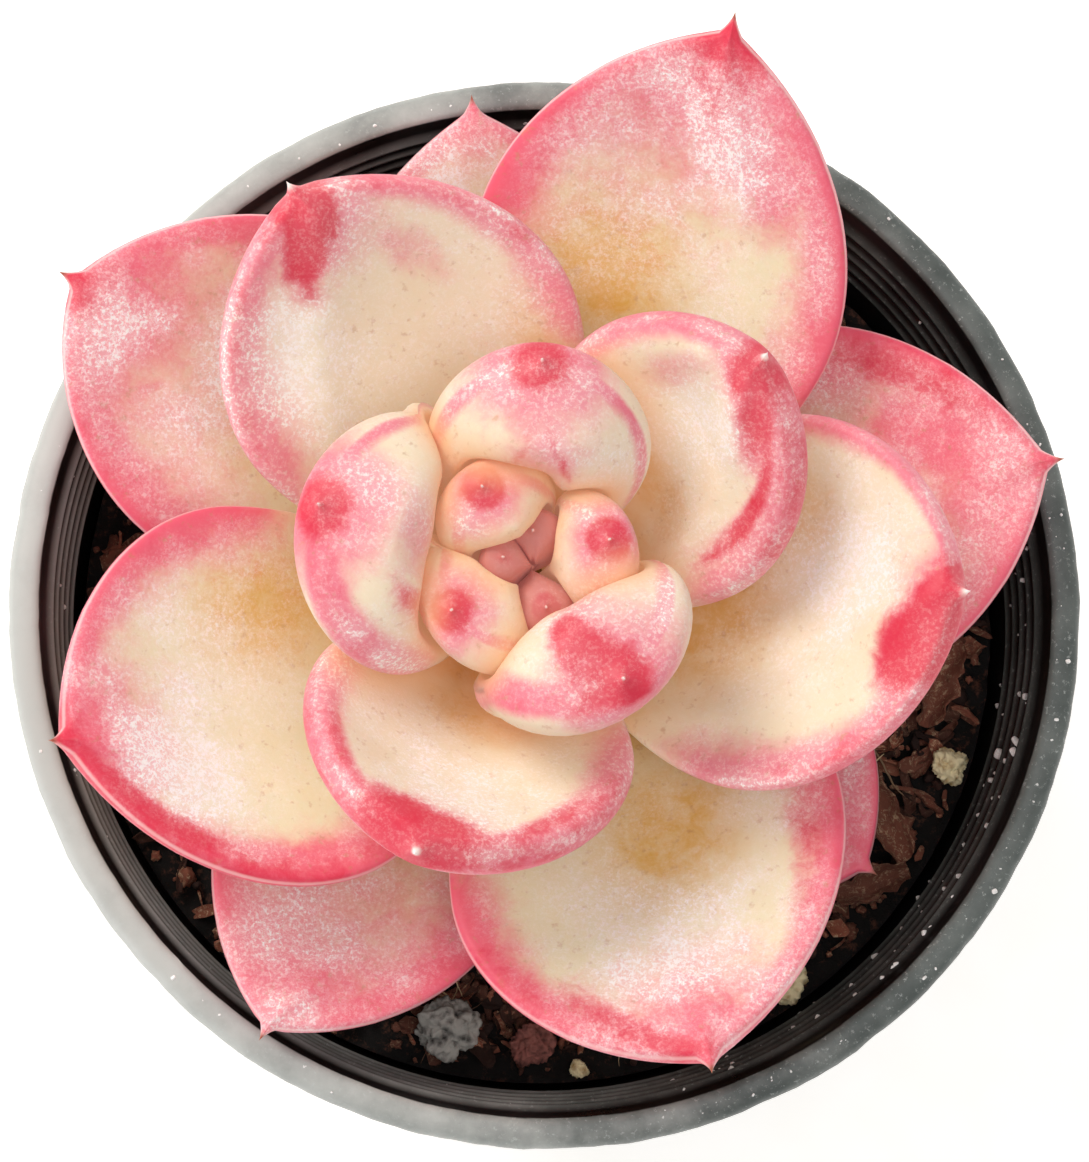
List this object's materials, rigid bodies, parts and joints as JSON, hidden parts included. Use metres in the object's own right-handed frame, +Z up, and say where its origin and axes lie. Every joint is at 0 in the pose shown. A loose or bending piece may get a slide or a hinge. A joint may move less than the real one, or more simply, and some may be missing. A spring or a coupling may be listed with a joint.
{
  "type": "potted succulent",
  "caption": "Rosette succulent with thick pink and cream pointed leaves, rooted in dark soil in a round tapered black nursery pot.",
  "frame": {"origin": "centre of the flat underside of the pot, on the pot's axis", "axes": "+Z up along the pot's axis; +Y towards the largest overhanging leaf"},
  "size_m": [0.09, 0.0916, 0.1016],
  "materials": {
    "pot_plastic": "moulded, slightly glossy, dusty",
    "soil_mix": "peat and coir crumbs, matt",
    "stem_skin": "matt",
    "leaf_low": "fleshy leaf, dusty pink bloom",
    "leaf_blush": "fleshy leaf, cream to crimson-pink with powdery bloom",
    "leaf_heart": "fleshy leaf, dusky rose",
    "pumice": "rough, pitted",
    "grey_stone": "rough, fibrous",
    "lava_rock": "rough, porous",
    "bark": "weathered"
  },
  "bodies": {
    "root": {"nursery_pot": "pot_plastic", "soil": "soil_mix", "stem": "stem_skin", "leaf_low_1": "leaf_low", "leaf_low_2": "leaf_low", "leaf_low_3": "leaf_low", "leaf_low_4": "leaf_low", "leaf_outer_1": "leaf_blush", "leaf_outer_2": "leaf_blush", "leaf_outer_3": "leaf_blush", "leaf_outer_4": "leaf_blush", "leaf_outer_5": "leaf_blush", "leaf_large_1": "leaf_blush", "leaf_large_2": "leaf_blush", "leaf_large_3": "leaf_blush", "leaf_mid_1": "leaf_blush", "leaf_mid_2": "leaf_blush", "leaf_mid_3": "leaf_blush", "leaf_mid_4": "leaf_blush", "leaf_inner_1": "leaf_blush", "leaf_inner_2": "leaf_blush", "leaf_inner_3": "leaf_blush", "leaf_bud_1": "leaf_blush", "leaf_bud_2": "leaf_blush", "leaf_bud_3": "leaf_blush", "leaf_heart_1": "leaf_heart", "leaf_heart_2": "leaf_heart", "leaf_heart_3": "leaf_heart", "pumice_large": "pumice", "pumice_small": "pumice", "pumice_chip": "pumice", "grey_lump": "grey_stone", "lava_lump": "lava_rock", "bark_chip_1": "bark", "bark_chip_2": "bark", "bark_chip_3": "bark", "bark_chip_4": "bark", "bark_chip_5": "bark", "bark_chip_6": "bark"}
  },
  "joints": []
}
